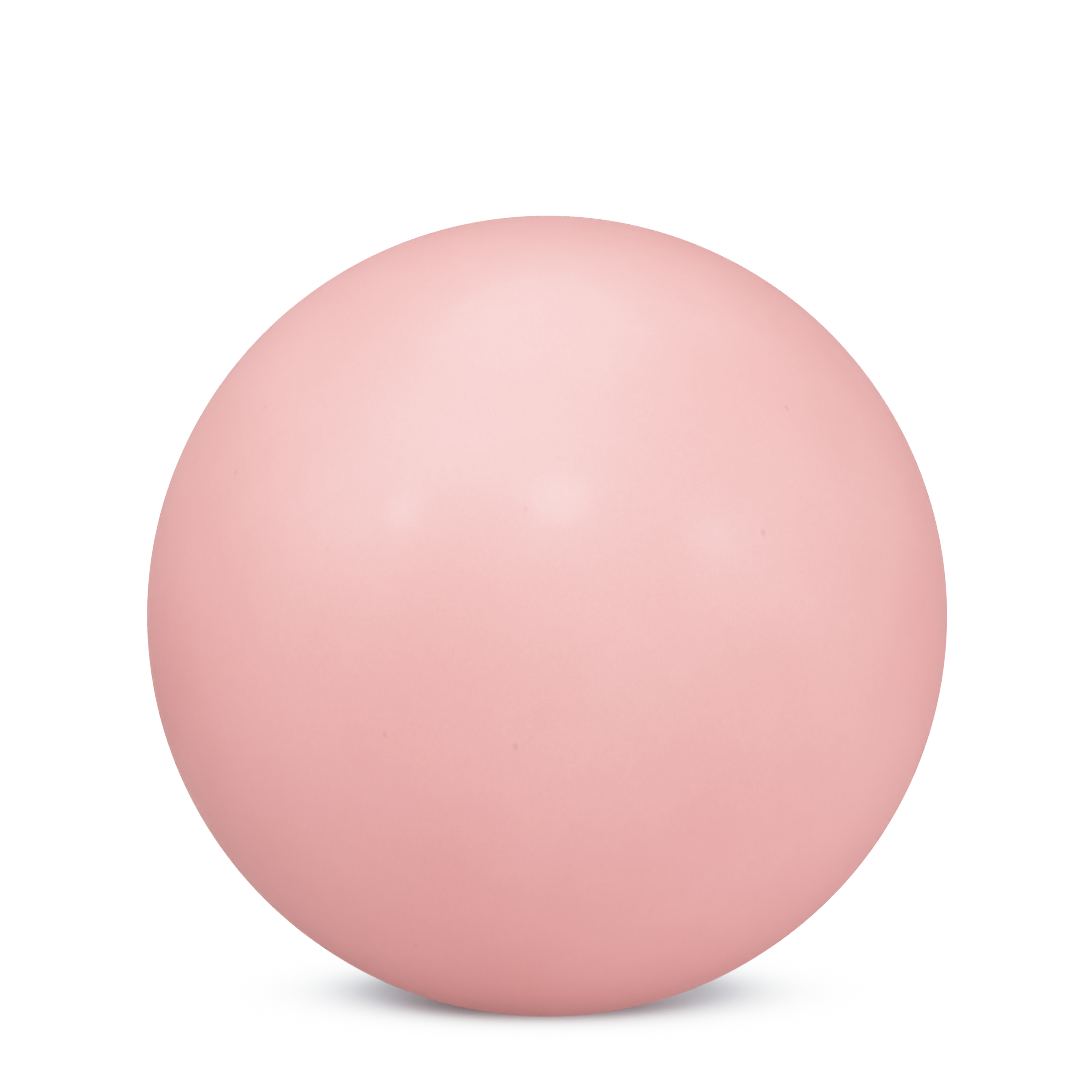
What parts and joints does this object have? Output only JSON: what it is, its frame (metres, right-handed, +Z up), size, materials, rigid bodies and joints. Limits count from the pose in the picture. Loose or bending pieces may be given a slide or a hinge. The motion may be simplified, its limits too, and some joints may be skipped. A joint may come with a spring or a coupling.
{
  "type": "exercise ball",
  "caption": "Large round inflatable exercise ball in smooth satin PVC, with a small flush push-in air plug in a moulded valve.",
  "frame": {"origin": "centre of the small flat on which the ball rests, on the floor", "axes": "+Z up; +Y out through the valve, away from the viewer of the front; +X across, to the right seen from the front"},
  "size_m": [0.6506, 0.65, 0.649],
  "materials": {
    "pink_pvc": "satin",
    "sleeve_pvc": "matte",
    "plug_plastic": "satin"
  },
  "bodies": {
    "ball": {"ball_skin": "pink_pvc", "valve_sleeve": "sleeve_pvc"},
    "plug": {"air_plug": "plug_plastic"}
  },
  "joints": [
    {"name": "plug_pull", "type": "slide", "parent": "ball", "child": "plug", "axis": [0, 1, 0], "range_m": [0, 0.045]}
  ]
}
